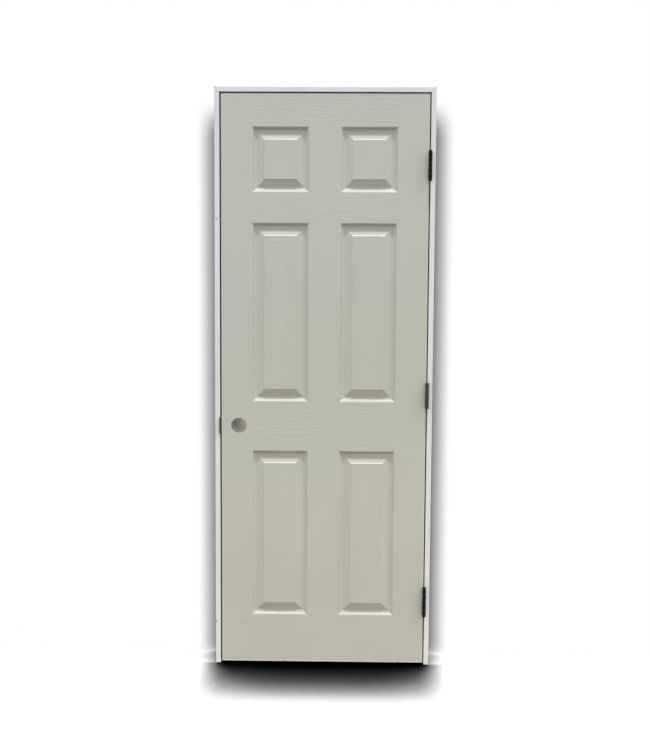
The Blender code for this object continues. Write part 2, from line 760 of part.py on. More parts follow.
def place_origins():
    """Give every moving piece an empty on the pins' axis as its parent."""
    axis = bpy.data.objects.new("door_swing_axis", None)
    axis.location = (PIN_X, PIN_Y, 0.0)
    bpy.context.scene.collection.objects.link(axis)
    bpy.context.view_layer.update()
    moving = ["front_skin", "back_skin", "hinge_stile", "lock_stile", "top_rail"]
    moving += ["bottom_rail", "lock_block"]
    moving += [place + "_hinge_door_leaf" for place in HINGE_Z]
    for name in moving:
        piece = bpy.data.objects[name]
        guides = [modifier.object for modifier in piece.modifiers if modifier.type == "BOOLEAN"]
        for item in [piece] + guides:
            item.parent = axis
            item.matrix_parent_inverse = axis.matrix_world.inverted()


def main():
    clear_scene()
    materials = make_materials()
    make_jambs(materials)
    make_stops(materials)
    make_strike_plate(materials)
    make_slab(materials)
    make_hinges(materials)
    place_origins()


main()
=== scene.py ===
import math

import bmesh
import bpy
from mathutils import Matrix, Vector


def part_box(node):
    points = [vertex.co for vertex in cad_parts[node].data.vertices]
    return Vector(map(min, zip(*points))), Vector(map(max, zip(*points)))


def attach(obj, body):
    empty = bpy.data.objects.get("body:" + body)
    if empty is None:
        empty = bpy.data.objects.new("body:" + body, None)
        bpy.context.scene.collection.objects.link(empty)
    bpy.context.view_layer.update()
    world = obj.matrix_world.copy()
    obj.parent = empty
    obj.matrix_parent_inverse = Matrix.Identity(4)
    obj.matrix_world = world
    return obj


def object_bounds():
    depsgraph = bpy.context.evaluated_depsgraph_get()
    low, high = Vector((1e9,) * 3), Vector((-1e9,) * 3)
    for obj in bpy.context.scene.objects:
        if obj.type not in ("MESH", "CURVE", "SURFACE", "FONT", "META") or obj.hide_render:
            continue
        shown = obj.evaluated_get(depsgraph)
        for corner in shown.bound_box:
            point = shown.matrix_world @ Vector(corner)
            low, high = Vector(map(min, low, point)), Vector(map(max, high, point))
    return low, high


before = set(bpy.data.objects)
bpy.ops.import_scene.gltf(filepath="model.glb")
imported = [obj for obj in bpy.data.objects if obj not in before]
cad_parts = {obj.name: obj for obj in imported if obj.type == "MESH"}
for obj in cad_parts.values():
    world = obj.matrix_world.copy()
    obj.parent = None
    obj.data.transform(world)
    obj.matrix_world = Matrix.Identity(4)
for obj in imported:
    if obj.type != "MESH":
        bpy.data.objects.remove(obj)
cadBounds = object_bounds()
print("frame loaded:", len(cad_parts), "nodes")


# Helpers for shader nodes. Throughout, colours are as they are read off a picture, 0 to
# 255, and lengths are metres. A pattern is its scale along x, y and z, its detail and,
# where they differ from the usual, its roughness and its shift. A fade is where it starts,
# where it ends and its level at each

softFrom = 0.6      # where a soft edge starts, as a share of its width
spotEnd = 1.3       # where a spot's soft rim ends, as a share of its radius
areaSoft = 0.0006   # how softly the slab's areas end


def startMaterial(name, metallic=0.0, gloss=0.5):
    material = bpy.data.materials.new(name)
    material.use_nodes = True
    shader = material.node_tree.nodes["Principled BSDF"]
    shader.inputs["Metallic"].default_value = metallic
    shader.inputs["Specular IOR Level"].default_value = gloss
    return material, material.node_tree, shader


def feed(tree, value, socket):
    # a socket is linked, a plain number or colour is typed in
    if isinstance(value, bpy.types.NodeSocket):
        tree.links.new(value, socket)
    else:
        socket.default_value = value


def calc(tree, operation, first, second=0.0, third=0.0, clamp=False):
    node = tree.nodes.new("ShaderNodeMath")
    node.operation = operation
    node.use_clamp = clamp
    for value, socket in zip((first, second, third), node.inputs):
        feed(tree, value, socket)
    return node.outputs[0]


def times(tree, first, second):
    return calc(tree, "MULTIPLY", first, second)


def minus(tree, first, second):
    return calc(tree, "SUBTRACT", first, second)


def apart(tree, first, second):
    return calc(tree, "ABSOLUTE", minus(tree, first, second))


def addShare(tree, value, share, base):
    return calc(tree, "MULTIPLY_ADD", value, share, base)


def chained(tree, operation, values):
    result = values[0]
    for value in values[1:]:
        result = calc(tree, operation, result, value)
    return result


def total(tree, values):
    return chained(tree, "ADD", values)


def least(tree, values):
    return chained(tree, "MINIMUM", values)


def length(tree, first, second):
    squares = [times(tree, first, first), times(tree, second, second)]
    return calc(tree, "SQRT", total(tree, squares))


def ramp(tree, value, low, high, outLow=0.0, outHigh=1.0, smooth=True):
    node = tree.nodes.new("ShaderNodeMapRange")
    node.interpolation_type = "SMOOTHSTEP" if smooth else "LINEAR"
    feed(tree, value, node.inputs["Value"])
    node.inputs["From Min"].default_value = low
    node.inputs["From Max"].default_value = high
    node.inputs["To Min"].default_value = outLow
    node.inputs["To Max"].default_value = outHigh
    return node.outputs["Result"]


def between(tree, value, low, high, soft=areaSoft):
    # 1 from low to high, 0 outside, with soft edges
    rise = ramp(tree, value, low - soft, low + soft)
    fall = ramp(tree, value, high - soft, high + soft)
    return calc(tree, "SUBTRACT", rise, fall, clamp=True)


def blendValues(tree, first, second, share):
    node = tree.nodes.new("ShaderNodeMix")
    node.data_type = "FLOAT"
    feed(tree, share, node.inputs["Factor"])
    feed(tree, first, node.inputs["A"])
    feed(tree, second, node.inputs["B"])
    return node.outputs["Result"]


def srgb(colour):
    # a picture's colour turned linear
    def linear(level):
        level /= 255.0
        return level / 12.92 if level <= 0.04045 else ((level + 0.055) / 1.055) ** 2.4

    return tuple(linear(level) for level in colour)


def tint(tree, base, paint, share):
    # paint over base. Each is a socket or a linear colour
    node = tree.nodes.new("ShaderNodeMix")
    node.data_type = "RGBA"
    feed(tree, share, node.inputs["Factor"])
    for value, socket in ((base, node.inputs[6]), (paint, node.inputs[7])):
        feed(tree, (*value, 1.0) if isinstance(value, tuple) else value, socket)
    return node.outputs[2]


def coat(tree, base, paint, share):
    # the same for a picture's colours
    linear = [srgb(value) if isinstance(value, tuple) else value for value in (base, paint)]
    return tint(tree, *linear, share)


def split(tree, value):
    node = tree.nodes.new("ShaderNodeSeparateXYZ")
    tree.links.new(value, node.inputs[0])
    return node.outputs[0], node.outputs[1], node.outputs[2]


def place(tree):
    coords = tree.nodes.new("ShaderNodeTexCoord")
    return coords.outputs["Object"], split(tree, coords.outputs["Object"])


def facing(tree):
    # which way the surface looks, in the piece's own directions
    coords = tree.nodes.new("ShaderNodeTexCoord")
    return split(tree, coords.outputs["Normal"])


def pattern(tree, where, scale, detail, rough=0.55, shift=(0.0, 0.0, 0.0)):
    mapping = tree.nodes.new("ShaderNodeMapping")
    tree.links.new(where, mapping.inputs["Vector"])
    mapping.inputs["Scale"].default_value = scale
    mapping.inputs["Location"].default_value = shift
    node = tree.nodes.new("ShaderNodeTexNoise")
    tree.links.new(mapping.outputs[0], node.inputs["Vector"])
    node.inputs["Scale"].default_value = 1.0
    node.inputs["Detail"].default_value = detail
    node.inputs["Roughness"].default_value = rough
    return node.outputs["Fac"]


def spot(tree, axis, x, z, radius):
    # 1 inside a small round spot at (x, z), soft at its rim
    away = length(tree, minus(tree, axis[0], x), minus(tree, axis[2], z))
    return ramp(tree, away, radius * softFrom, radius * spotEnd, 1.0, 0.0)


def addMarks(tree, colour, axis, marks, front):
    # small marks on the front alone, each with its x, z, radius, colour and share
    for x, z, radius, paint, share in marks:
        mark = times(tree, spot(tree, axis, x, z, radius), front)
        colour = coat(tree, colour, paint, times(tree, mark, share))
    return colour


def emboss(tree, shader, layers):
    # layers are (height in metres, strength), the finest first
    normal = None
    for height, strength in layers:
        node = tree.nodes.new("ShaderNodeBump")
        node.inputs["Distance"].default_value = 1.0
        node.inputs["Strength"].default_value = strength
        tree.links.new(height, node.inputs["Height"])
        if normal:
            tree.links.new(normal, node.inputs["Normal"])
        normal = node.outputs["Normal"]
    tree.links.new(normal, shader.inputs["Normal"])


def finishMaterial(tree, shader, colour, roughness, layers=()):
    tree.links.new(colour, shader.inputs["Base Color"])
    feed(tree, roughness, shader.inputs["Roughness"])
    if layers:
        emboss(tree, shader, layers)


def openness(tree, reach):
    # 1 in the open, less where other surfaces stand within reach
    near = tree.nodes.new("ShaderNodeAmbientOcclusion")
    near.inputs["Distance"].default_value = reach
    return near.outputs["AO"]


def dress(names, material):
    for name in names:
        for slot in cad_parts[name].material_slots:
            slot.material = material


camera = {
    "place": (-0.32338, -3.51536, 0.32257),
    "turn": -0.01432,      # left of straight on, radians
    "tilt": -0.08593,      # down
    "roll": 0.00599,
    "lens": 48.0,
    "farClip": 60.0,
}


def aimCamera():
    turn, tilt, roll = camera["turn"], camera["tilt"], camera["roll"]
    level = math.cos(tilt)
    ahead = Vector((math.sin(turn) * level, math.cos(turn) * level, math.sin(tilt)))
    right = Vector((math.cos(turn), -math.sin(turn), 0.0))
    up = right.cross(ahead)
    rightRolled = math.cos(roll) * right + math.sin(roll) * up
    upRolled = math.cos(roll) * up - math.sin(roll) * right
    data = bpy.data.cameras.new("doorCamera")
    data.lens = camera["lens"]
    data.clip_end = camera["farClip"]
    eye = bpy.data.objects.new("doorCamera", data)
    turned = Matrix((rightRolled, upRolled, -ahead)).transposed()
    eye.matrix_world = Matrix.Translation(camera["place"]) @ turned.to_4x4()
    bpy.context.scene.collection.objects.link(eye)
    bpy.context.scene.camera = eye


aimCamera()
print("camera placed")


# light levels count 1 where a colour renders as it is written
studio = {
    # for each lamp: the way towards it, as long as its level, and its spread in degrees
    "ceiling": (0.02, -0.205, 0.96, 5.0),
    "right": (0.13, -0.060, 0.19, 9.0),
    "front": (-0.05, -0.15, 0.0, 60.0),    # the widest and softest
    "ambient": (-0.15, 0.75, 0.84, 1.40),  # the world's light, from its front to its back
    "floorReach": 7.0,
    "floorPaint": 0.60,
    "wallBehind": 0.0585,          # where the backdrop stands, just behind the jambs
    "wallHeight": 4.0,
    "wallHalfWidth": 4.0,
    # the wide soft shadow under the door: its reach, its depth, how far from the door's
    # middle it ends in front of the jambs and between them, and where one gives way to
    # the other
    "footReach": 0.38,
    "footDepth": 11.0,
    "footBefore": (0.325, 0.45),
    "footBetween": (0.350, 0.385),
    "footTurn": (-0.075, -0.045),
    # the narrow one along the jambs: its reach, its depth on the floor from their fronts
    # to their backs and on the backdrop from its foot upwards, and the heights between
    # which it ends
    "jambReach": 0.078,
    "jambOnFloor": (1.5, 3.0),
    "jambOnWall": (3.2, 2.8),
    "jambTop": (0.84, 0.985),
    # painted shade on what shows through the lock bore: its reach and colour, how far round
    # the bore it counts, and how it fades as the view opens
    "boreReach": 0.22,
    "boreShadeTone": (146, 144, 133),
    "boreRound": 0.05,
    "boreFade": (0.30, 0.70, 1.0, 0.0),
    "bounceNear": (0.300, 0.258, 0.196),   # light that the floor sends back by the door, linear
    "bounceFar": (0.055, 0.046, 0.032),
    "bounceFade": (0.5, 2.6),
}


def whiteForLooks(tree):
    # 1 for what the camera, mirrors and glass see, 0 for light that bounces
    path = tree.nodes.new("ShaderNodeLightPath")
    rays = ("Is Camera Ray", "Is Glossy Ray", "Is Transmission Ray")
    return chained(tree, "MAXIMUM", [path.outputs[ray] for ray in rays])


def seenOrBounced(tree, seen, bounced):
    choice = tree.nodes.new("ShaderNodeMixShader")
    tree.links.new(whiteForLooks(tree), choice.inputs["Fac"])
    tree.links.new(bounced.outputs[0], choice.inputs[1])
    tree.links.new(seen.outputs[0], choice.inputs[2])
    return choice.outputs[0]


def jambShadow(tree, axis, isWall):
    if isWall:
        ground = cadBounds[0][2]
        top = ground + studio["jambReach"]
        depth = ramp(tree, axis[2], ground, top, *studio["jambOnWall"])
        depth = times(tree, depth, ramp(tree, axis[2], *studio["jambTop"], 1.0, 0.0))
    else:
        low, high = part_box("strike_jamb")
        depth = ramp(tree, axis[1], low.y, high.y, *studio["jambOnFloor"], smooth=False)
    return calc(tree, "POWER", openness(tree, studio["jambReach"]), depth)


def footShadow(tree, axis):
    middle = (cadBounds[0][0] + cadBounds[1][0]) / 2
    aside = apart(tree, axis[0], middle)
    before = ramp(tree, aside, *studio["footBefore"], studio["footDepth"], 0.0)
    within = ramp(tree, aside, *studio["footBetween"], studio["footDepth"], 0.0)
    depth = blendValues(tree, before, within, ramp(tree, axis[1], *studio["footTurn"]))
    return calc(tree, "POWER", openness(tree, studio["footReach"]), depth)


def boreShadow(tree, axis):
    # 1 where painted shade darkens the backdrop seen through the lock bore of the shut door
    low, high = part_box("lock_block")
    x, z = (low.x + high.x) / 2, (low.z + high.z) / 2
    covered = ramp(tree, openness(tree, studio["boreReach"]), *studio["boreFade"])
    return times(tree, spot(tree, axis, x, z, studio["boreRound"]), covered)


def oneSided(tree, surface):
    # seen from behind, the backdrop isn't there
    geometry = tree.nodes.new("ShaderNodeNewGeometry")
    clear = tree.nodes.new("ShaderNodeBsdfTransparent")
    sided = tree.nodes.new("ShaderNodeMixShader")
    tree.links.new(geometry.outputs["Backfacing"], sided.inputs["Fac"])
    tree.links.new(surface, sided.inputs[1])
    tree.links.new(clear.outputs[0], sided.inputs[2])
    return sided.outputs[0]


def stageShader(name, isWall):
    material = bpy.data.materials.new(name)
    material.use_nodes = True
    tree = material.node_tree
    tree.nodes.clear()
    output = tree.nodes.new("ShaderNodeOutputMaterial")
    axis = place(tree)[1]
    shade = jambShadow(tree, axis, isWall)
    if isWall:
        seen = tree.nodes.new("ShaderNodeEmission")
        tree.links.new(shade, seen.inputs["Strength"])
        shade = coat(tree, (255, 255, 255), studio["boreShadeTone"], boreShadow(tree, axis))
    else:
        seen = tree.nodes.new("ShaderNodeBsdfDiffuse")
        shade = times(tree, times(tree, shade, footShadow(tree, axis)), studio["floorPaint"])
    tree.links.new(shade, seen.inputs["Color"])
    bounced = tree.nodes.new("ShaderNodeBsdfDiffuse")
    far = ramp(tree, length(tree, axis[0], axis[1]), *studio["bounceFade"])
    glow = tint(tree, studio["bounceNear"], studio["bounceFar"], far)
    tree.links.new(glow, bounced.inputs["Color"])
    surface = seenOrBounced(tree, seen, bounced)
    if isWall:
        surface = oneSided(tree, surface)
    tree.links.new(surface, output.inputs["Surface"])
    return material


def sheet(name, halfWidth, near, far, material):
    # a flat sheet from one (y, z) to another, its face up or forward
    bm = bmesh.new()
    corners = [(-halfWidth, near), (halfWidth, near), (halfWidth, far), (-halfWidth, far)]
    bm.faces.new([bm.verts.new((x, *row)) for x, row in corners])
    mesh = bpy.data.meshes.new(name)
    bm.to_mesh(mesh)
    bm.free()
    mesh.materials.append(material)
    piece = bpy.data.objects.new(name, mesh)
    bpy.context.scene.collection.objects.link(piece)
    piece.visible_shadow = False   # so that only the door darkens them
    return piece


def buildStage():
    ground, reach, back = cadBounds[0][2], studio["floorReach"], studio["wallBehind"]
    paint = stageShader("paleFloor", False)
    sheet("studioFloor", reach, (-reach, ground), (reach, ground), paint)
    paint = stageShader("paleBackdrop", True)
    top = ground + studio["wallHeight"]
    wall = sheet("studioBackdrop", studio["wallHalfWidth"], (back, ground), (back, top), paint)
    wall.visible_diffuse = False
    wall.visible_glossy = False


def sunLamp(name):
    *towards, spread = studio[name]
    lamp = bpy.data.lights.new(name + "Light", "SUN")
    lamp.energy = math.pi * Vector(towards).length
    lamp.angle = math.radians(spread)
    sun = bpy.data.objects.new(name + "Light", lamp)
    sun.rotation_mode = "QUATERNION"
    sun.rotation_quaternion = Vector(towards).to_track_quat("Z", "Y")
    bpy.context.scene.collection.objects.link(sun)


def lightWorld():
    world = bpy.data.worlds.new("studioWorld")
    bpy.context.scene.world = world
    world.use_nodes = True
    tree = world.node_tree
    tree.nodes.clear()
    output = tree.nodes.new("ShaderNodeOutputWorld")
    coords = tree.nodes.new("ShaderNodeTexCoord")
    towards = split(tree, coords.outputs["Generated"])
    level = ramp(tree, towards[1], *studio["ambient"])
    level = times(tree, level, calc(tree, "GREATER_THAN", towards[2], 0.0))   # none from below
    soft = tree.nodes.new("ShaderNodeBackground")
    tree.links.new(level, soft.inputs["Strength"])
    plain = tree.nodes.new("ShaderNodeBackground")
    for background in (soft, plain):
        background.inputs["Color"].default_value = (1.0, 1.0, 1.0, 1.0)
    tree.links.new(seenOrBounced(tree, plain, soft), output.inputs["Surface"])


buildStage()
for name in ("ceiling", "right", "front"):
    sunLamp(name)
lightWorld()
bpy.context.scene.view_settings.view_transform = "Standard"
print("studio lit")


gaps = {
    "shadeAndDirt": (90, 68, 52),              # painted shade and some dirt, deep in the gaps round the slab
    "reach": 0.02,
    "fade": (0.10, 0.55, 0.85, 0.0),
}


def shadeAndDirtInGaps(tree, colour):
    # paints shade into narrow gaps, where little light gets in, with some dirt
    share = ramp(tree, openness(tree, gaps["reach"]), *gaps["fade"])
    return coat(tree, colour, gaps["shadeAndDirt"], share)


# the faces between and round the slab's six panels, and the panels' own heights
slab = {
    "stileFace": 0.1055,
    "mullionFace": 0.106,
    "topRailFace": 0.1096,
    "topPanel": 0.2224,
    "friezeFace": 0.1021,
    "middlePanel": 0.6189,
    "lockRailFace": 0.1701,
    "bottomRailFace": 0.1692,
    "fieldInset": (0.0431, 0.0449),    # from a panel's edge to its raised field: sides, ends
    "shoulder": (0.0420, 0.0452),      # how far that field's upper edge lies below the top
}


def slabLayout():
    # the panels' columns and rows, each from its lower to its upper end
    low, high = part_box("front_skin")
    left = low.x + slab["stileFace"]
    right = high.x - slab["stileFace"]
    width = (right - left - slab["mullionFace"]) / 2
    columns = {"left": (left, left + width), "right": (right - width, right)}
    top = high.z - slab["topRailFace"]
    middle = top - slab["topPanel"] - slab["friezeFace"]
    lower = middle - slab["middlePanel"] - slab["lockRailFace"]
    rows = {
        "top": (top - slab["topPanel"], top),
        "middle": (middle - slab["middlePanel"], middle),
        "low": (low.z + slab["bottomRailFace"], lower),
    }
    return columns, rows


grain = {
    "streakDepth": 0.00060,            # of the pressed streaks on the rails
    "streaks": ((11.0, 1.0, 190.0), 1.0, 0.5),
    "streakEnds": 0.0015,              # how softly they end at the stiles
    "streakLow": (-0.84, -0.80, 0.80, 1.0),   # fainter on the bottom rail
    "wander": ((7.0, 1.0, 11.0), 2.0),
    "wanderBy": 0.018,
    "bulge": (-0.445, -0.085, 0.007),  # where they bulge over the lock rail: x, z, rise
    "bulgeReach": (0.08, 0.05),
    "uprightDepth": 0.00010,           # of the fainter ones along the stiles
    "upright": ((160.0, 1.0, 2.0), 3.0, 0.6, (3.1, 0.0, 7.7)),
    "fineDepth": 0.00011,
    "fineStrength": 0.6,
    "fine": ((420.0, 1.0, 420.0), 2.0, 0.6),
    "archDepth": 0.00038,              # of the arches in the panels
    "archSpacing": 0.031,              # between two lines at the arches' middle, roughly
    "archBend": (66.0, 9000.0),        # how they bend near the middle and towards their sides
    "archSharp": 5.0,                  # the higher, the thinner the lines
    "thinSharp": 3.0,                  # and for the faint lines between them
    "thinShare": 0.15,
    # what makes the arches uneven: a sway to the sides, a waviness, and steps that differ
    "sway": ((1.0, 1.0, 7.0), 1.0),
    "swayBy": 0.012,
    "wavy": ((30.0, 1.0, 14.0), 1.0),
    "wavyBy": 0.020,
    "uneven": ((2.0, 1.0, 9.0), 1.0, 0.55, (2.0, 5.0, 1.0)),
    "unevenBy": 0.150,
    "patchy": ((20.0, 1.0, 9.0), 1.0, 0.55, (1.0, 2.0, 3.0)),
    "patchyFade": (0.34, 0.58, 0.35, 1.0),
    "sideFade": (0.022, 0.046, 1.0, 0.55),    # how they fade away from their middle
    # for each panel: how far the arches' middle is off the panel's own, where the
    # pattern starts and how strong it is
    "arches": {
        ("left", "top"): (0.000, 0.31, 0.75),
        ("right", "top"): (0.003, 0.12, 0.7),
        ("left", "middle"): (-0.005, 0.77, 1.0),
        ("right", "middle"): (0.005, 0.43, 1.0),
        ("left", "low"): (-0.001, 0.05, 0.8),
        ("right", "low"): (-0.006, 0.64, 0.9),
    },
}


def slabAreas(tree, axis):
    # 1 in each column, in each row, in the panels, on their raised fields and on the rails
    columns, rows = slabLayout()
    x, z = axis[0], axis[2]
    inColumn = {side: between(tree, x, *span) for side, span in columns.items()}
    inRow = {level: between(tree, z, *span) for level, span in rows.items()}
    anyRow = total(tree, list(inRow.values()))
    panels = times(tree, total(tree, list(inColumn.values())), anyRow)
    aside, over = slab["fieldInset"]
    across = [between(tree, x, low + aside, high - aside) for low, high in columns.values()]
    upwards = [between(tree, z, low + over, high - over) for low, high in rows.values()]
    fields = times(tree, total(tree, across), total(tree, upwards))
    ends = columns["left"][0], columns["right"][1]
    inside = between(tree, x, *ends, grain["streakEnds"])
    rails = times(tree, inside, minus(tree, 1.0, anyRow))
    rails = times(tree, rails, ramp(tree, z, *grain["streakLow"]))
    return {
        "columns": inColumn, "rows": inRow, "panels": panels, "fields": fields, "rails": rails,
    }


def railStreaks(tree, where, axis):
    # streaks pressed along the rails, slightly wavy, with one bulge
    x, y, z = axis
    waved = addShare(tree, pattern(tree, where, *grain["wander"]), grain["wanderBy"], z)
    bulgeX, bulgeZ, rise = grain["bulge"]
    reachX, reachZ = grain["bulgeReach"]
    aside = ramp(tree, apart(tree, x, bulgeX), 0.0, reachX, -rise, 0.0)
    above = ramp(tree, apart(tree, z, bulgeZ), 0.0, reachZ, 1.0, 0.0)
    waved = calc(tree, "ADD", waved, times(tree, aside, above))
    bent = tree.nodes.new("ShaderNodeCombineXYZ")
    for value, socket in zip((x, y, waved), bent.inputs):
        tree.links.new(value, socket)
    return minus(tree, pattern(tree, bent.outputs[0], *grain["streaks"]), 0.5)


def panelArches(tree, where, axis, areas):
    # nested arches, steep at their sides, as thin grooves at uneven steps
    columns = slabLayout()[0]
    middles, starts, strengths = [], [], []
    for (side, level), (off, start, strength) in grain["arches"].items():
        mask = times(tree, areas["columns"][side], areas["rows"][level])
        middles.append(times(tree, mask, sum(columns[side]) / 2 + off))
        starts.append(times(tree, mask, start))
        strengths.append(times(tree, mask, strength))
    sway = minus(tree, pattern(tree, where, *grain["sway"]), 0.5)
    across = minus(tree, axis[0], total(tree, middles))
    across = addShare(tree, sway, grain["swayBy"], across)
    square = times(tree, across, across)
    near, far = grain["archBend"]
    bend = times(tree, square, addShare(tree, square, far, near))
    climb = total(tree, [axis[2], bend, *starts])
    for name in ("wavy", "uneven"):
        climb = addShare(tree, pattern(tree, where, *grain[name]), grain[name + "By"], climb)
    turns = times(tree, climb, 2 * math.pi / grain["archSpacing"])

    def lines(angle, sharpness):
        wave = addShare(tree, calc(tree, "SINE", angle), 0.5, 0.5)
        return calc(tree, "POWER", wave, sharpness)

    thin = times(tree, lines(times(tree, turns, 2.0), grain["thinSharp"]), grain["thinShare"])
    depth = calc(tree, "ADD", lines(turns, grain["archSharp"]), thin)
    patchy = ramp(tree, pattern(tree, where, *grain["patchy"]), *grain["patchyFade"])
    fade = ramp(tree, calc(tree, "ABSOLUTE", across), *grain["sideFade"])
    fade = times(tree, fade, total(tree, strengths))
    return times(tree, times(tree, depth, patchy), fade)


def pressedGrain(tree, where, axis, areas):
    upright = minus(tree, pattern(tree, where, *grain["upright"]), 0.5)
    upright = times(tree, upright, grain["uprightDepth"])
    streaks = times(tree, railStreaks(tree, where, axis), grain["streakDepth"])
    height = blendValues(tree, upright, streaks, areas["rails"])
    height = times(tree, height, minus(tree, 1.0, areas["panels"]))
    arches = times(tree, panelArches(tree, where, axis, areas), -grain["archDepth"])
    height = blendValues(tree, height, arches, areas["fields"])
    fine = times(tree, pattern(tree, where, *grain["fine"]), grain["fineDepth"])
    return [(fine, grain["fineStrength"]), (height, 1.0)]


slabPaint = {
    # the paint's tone changes with height, partly as painted light: paler and cooler at the
    # top, warmer low down
    "top": (194, 195, 187),
    "middle": (188, 190, 177),         # greener at mid-height
    "low": (182, 181, 172),            # and warmer low down
    "upperFade": (-0.05, 0.75),        # the heights between which they change
    "lowerFade": (-0.80, -0.20),
    "pale": (190, 192, 183),           # soft clouding
    "cloud": ((4.0, 4.0, 3.0), 4.0, 0.6),
    "cloudFade": (0.40, 0.75, 0.0, 0.35),
    "dull": (176, 177, 165),           # fine specks
    "speck": ((300.0, 300.0, 300.0), 2.0, 0.6),
    "speckFade": (0.45, 0.75, 0.0, 0.30),
    "slope": (206, 207, 198),          # painted light on the bevels' upright slopes
    "slopeLightFade": (0.20, 0.40, 0.0, 0.14),     # by how far a face looks sideways
    "ledgeShade": (148, 148, 143),      # painted shade that dulls the light on what faces up
    "ledgeShadeFade": (0.0, 0.80, 0.0, 0.50),      # by how far it looks up
    "shoulder": (196, 197, 190),       # painted highlight on the fields' upper edges
    "shoulderHighlightFade": (0.50, 0.65),
    "shoulderEnds": 0.0004,
    "underShade": (100, 92, 76),        # painted shade under the mouldings and in their coves
    "underShadeFade": (-0.60, -0.10, 0.24, 0.0),
    "coveReach": 0.03,
    "coveShadeFade": (0.50, 0.95, 0.22, 0.0),
    "edge": (198, 200, 184),           # paler where the edges are rubbed
    "edgeFade": (0.0035, 0.0055, 0.55, 0.0),
    "topRim": (160, 150, 142),         # a grubby line along the slab's top edge
    "footRim": (214, 210, 205),        # and bare primer along its foot
    "rimDepth": 0.0040,
    "rimShare": 0.7,
    "frontFade": (0.001, 0.002, 1.0, 0.0),   # how deep the chips go
    # small chips and specks on the front: x, z, radius, colour, share
    "chips": [
        (-0.6573, -0.8610, 0.0024, (104, 100, 90), 0.60),
        (-0.1195, -0.9966, 0.0042, (222, 219, 214), 0.95),
        (-0.1090, -0.9982, 0.0024, (84, 82, 78), 0.80),
        (-0.5110, -0.9962, 0.0030, (150, 146, 136), 0.80),
    ],
    "roughness": (0.3, 0.7, 0.40, 0.52),   # by the sheen's pattern
    "sheen": ((9.0, 9.0, 5.0), 3.0, 0.55, (4.0, 0.0, 2.0)),
    "gloss": 0.35,
}


def fromEdges(tree, axis, low, high):
    # how far in from the slab's nearest edge
    return least(tree, [
        minus(tree, axis[0], low.x), minus(tree, high.x, axis[0]),
        minus(tree, axis[2], low.z), minus(tree, high.z, axis[2]),
    ])


def slabColour(tree, where, axis, panels):
    low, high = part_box("front_skin")
    z = axis[2]
    upper = ramp(tree, z, *slabPaint["upperFade"])
    colour = coat(tree, slabPaint["middle"], slabPaint["top"], upper)
    lower = ramp(tree, z, *slabPaint["lowerFade"])
    colour = coat(tree, slabPaint["low"], colour, lower)
    for paint, size in (("pale", "cloud"), ("dull", "speck")):
        share = ramp(tree, pattern(tree, where, *slabPaint[size]), *slabPaint[size + "Fade"])
        colour = coat(tree, colour, slabPaint[paint], share)

    across, _, upwards = facing(tree)
    # painted light: faces that look sideways are paler
    slope = ramp(tree, calc(tree, "ABSOLUTE", across), *slabPaint["slopeLightFade"])
    colour = coat(tree, colour, slabPaint["slope"], times(tree, slope, panels))
    # painted shade on what faces up, dulling the light from above
    ledge = ramp(tree, upwards, *slabPaint["ledgeShadeFade"])
    colour = coat(tree, colour, slabPaint["ledgeShade"], times(tree, ledge, panels))
    # a painted highlight along the fields' upper edges, where they face up
    ledge = ramp(tree, upwards, *slabPaint["shoulderHighlightFade"])
    near, far = slab["shoulder"]
    for _, top in slabLayout()[1].values():
        band = between(tree, z, top - far, top - near, slabPaint["shoulderEnds"])
        share = times(tree, times(tree, band, ledge), panels)
        colour = coat(tree, colour, slabPaint["shoulder"], share)
    # painted shade on what faces down and in the coves, where little light reaches
    under = ramp(tree, upwards, *slabPaint["underShadeFade"])
    colour = coat(tree, colour, slabPaint["underShade"], under)
    coves = ramp(tree, openness(tree, slabPaint["coveReach"]), *slabPaint["coveShadeFade"])
    colour = coat(tree, colour, slabPaint["underShade"], coves)

    rubbed = ramp(tree, fromEdges(tree, axis, low, high), *slabPaint["edgeFade"])
    colour = coat(tree, colour, slabPaint["edge"], rubbed)
    rim, share = slabPaint["rimDepth"], slabPaint["rimShare"]
    topRim = ramp(tree, z, high.z - rim, high.z - rim * softFrom, 0.0, share)
    colour = coat(tree, colour, slabPaint["topRim"], topRim)
    footRim = ramp(tree, z, low.z + rim * softFrom, low.z + rim, share, 0.0)
    colour = coat(tree, colour, slabPaint["footRim"], footRim)
    start, end, *levels = slabPaint["frontFade"]
    front = ramp(tree, axis[1], low.y + start, low.y + end, *levels)
    return addMarks(tree, colour, axis, slabPaint["chips"], front)


def embossedPaint():
    material, tree, shader = startMaterial("greigeSlabPaint", gloss=slabPaint["gloss"])
    where, axis = place(tree)
    areas = slabAreas(tree, axis)
    layers = pressedGrain(tree, where, axis, areas)
    colour = slabColour(tree, where, axis, areas["panels"])
    roughness = ramp(tree, pattern(tree, where, *slabPaint["sheen"]), *slabPaint["roughness"])
    finishMaterial(tree, shader, colour, roughness, layers)
    return material


dress(["front_skin", "back_skin"], embossedPaint())
print("slab skins painted")


